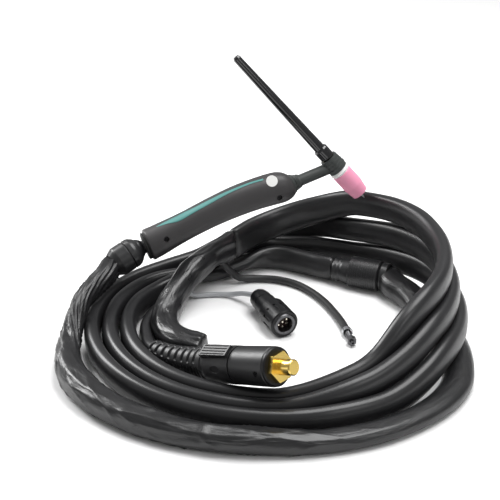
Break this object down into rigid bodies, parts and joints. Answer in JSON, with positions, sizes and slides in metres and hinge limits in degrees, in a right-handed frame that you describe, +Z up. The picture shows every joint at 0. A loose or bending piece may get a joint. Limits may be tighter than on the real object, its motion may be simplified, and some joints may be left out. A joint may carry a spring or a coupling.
{
  "type": "tig welding torch",
  "caption": "Gas-cooled TIG welding torch with ball swivel, coiled hose package, power plug, control connector and gas fitting, stored coiled flat on the floor.",
  "frame": {"origin": "middle of the power plug's contact pin, on its axis; the floor that the coil lies on is 57.3 mm below it", "axes": "+Z up from the floor, +X to the right across the coil, the way the torch head points, +Y to the back of the coil, where the hose runs under the handle"},
  "size_m": [0.382, 0.3996, 0.2364],
  "materials": {
    "cap_plastic": "polished",
    "seal_rubber": "matte",
    "brass": "machined",
    "head_rubber": "matte, ribbed",
    "white_gasket": "smooth",
    "copper": "machined",
    "tungsten": "ground",
    "pink_ceramic": "fired, matt",
    "handle_plastic": "fine grained",
    "inlay_rubber": "smooth",
    "screw_steel": "dark oxide",
    "badge_face": "smooth",
    "button_plastic": "smooth",
    "switch_plastic": "smooth",
    "swivel_plastic": "satin",
    "cover_leather": "polished, creased",
    "hose_rubber": "satin",
    "sleeve_leather": "polished, dimpled",
    "cable_rubber": "satin",
    "plug_rubber": "satin, moulded",
    "grey_cable": "satin",
    "connector_plastic": "fine grained",
    "bright_metal": "machined",
    "insert_plastic": "smooth",
    "contact_metal": "plated",
    "gas_rubber": "fabric-marked",
    "clamp_steel": "rolled"
  },
  "bodies": {
    "hose_package": {"leather_cover": "cover_leather", "cover_collar": "swivel_plastic", "hose_coupler": "plug_rubber", "coupler_cuff": "plug_rubber", "hose_coil": "hose_rubber", "end_sleeve": "sleeve_leather", "power_cable": "cable_rubber", "plug_boot": "plug_rubber", "plug_sleeve": "plug_rubber", "plug_housing": "plug_rubber", "plug_ring": "connector_plastic", "plug_pin": "brass", "plug_screw": "screw_steel", "control_cable": "grey_cable", "connector_body": "connector_plastic", "connector_shell": "bright_metal", "connector_insert": "insert_plastic", "connector_pins": "contact_metal", "gas_hose": "gas_rubber", "gas_fitting": "bright_metal", "ear_clamp": "clamp_steel", "socket_front": "swivel_plastic", "socket_rear": "swivel_plastic"},
    "ball": {"swivel_ball": "swivel_plastic"},
    "torch": {"head_core": "brass", "head_cover": "head_rubber", "collet_body": "copper", "collet": "copper", "neck_tube": "copper", "neck_boot": "head_rubber", "tube_union": "brass", "inner_lead": "cable_rubber", "handle_near": "handle_plastic", "handle_far": "handle_plastic", "grip_inlays": "inlay_rubber", "handle_screws": "screw_steel", "badge_disc": "badge_face", "micro_switch": "switch_plastic", "rear_ring": "seal_rubber"},
    "trigger": {"trigger_button": "button_plastic"},
    "cap_seal": {"cap_oring": "seal_rubber"},
    "cap": {"back_cap": "cap_plastic"},
    "tungsten": {"electrode": "tungsten"},
    "gasket": {"cup_gasket": "white_gasket"},
    "cup": {"nozzle": "pink_ceramic"},
    "coupling": {"connector_ring": "connector_plastic"}
  },
  "joints": [
    {"name": "swivel_tilt", "type": "hinge", "parent": "hose_package", "child": "ball", "pos_m": [-0.14494, 0.22277, -0.0002], "axis": [0.3007, -0.9537, 0], "range_deg": [0, 30]},
    {"name": "swivel_spin", "type": "hinge", "parent": "ball", "child": "torch", "pos_m": [-0.14494, 0.22277, -0.0002], "axis": [-0.9125, -0.2877, -0.2907], "range_deg": [0, 90]},
    {"name": "trigger_press", "type": "slide", "parent": "torch", "child": "trigger", "axis": [0.2336, -0.95, 0.2071], "range_m": [0, 0.0015], "stiffness_N_per_m": 1200, "springref_m": -0.001},
    {"name": "cap_travel", "type": "slide", "parent": "torch", "child": "cap_seal", "axis": [-0.6594, 0.0018, 0.7518], "range_m": [0, 0.005]},
    {"name": "cap_turn", "type": "hinge", "parent": "cap_seal", "child": "cap", "pos_m": [0.05224, 0.28551, 0.06521], "axis": [-0.6594, 0.0018, 0.7518], "range_deg": [0, 1440]},
    {"name": "electrode_slide", "type": "slide", "parent": "torch", "child": "tungsten", "axis": [0.6594, -0.0018, -0.7518], "range_m": [-0.01, 0.0025]},
    {"name": "cup_travel", "type": "slide", "parent": "torch", "child": "gasket", "axis": [0.6594, -0.0018, -0.7518], "range_m": [0, 0.0025]},
    {"name": "cup_turn", "type": "hinge", "parent": "gasket", "child": "cup", "pos_m": [0.05224, 0.28551, 0.06521], "axis": [0.6594, -0.0018, -0.7518], "range_deg": [0, 720]},
    {"name": "coupling_turn", "type": "hinge", "parent": "hose_package", "child": "coupling", "pos_m": [0.001, 0.1516, -0.0432], "axis": [0.4067, -0.9135, 0], "continuous": true}
  ],
  "couplings": [
    {"joint": "cap_turn", "follows": "cap_travel", "rad_per_m": 5026.5},
    {"joint": "cup_turn", "follows": "cup_travel", "rad_per_m": 5026.5}
  ]
}
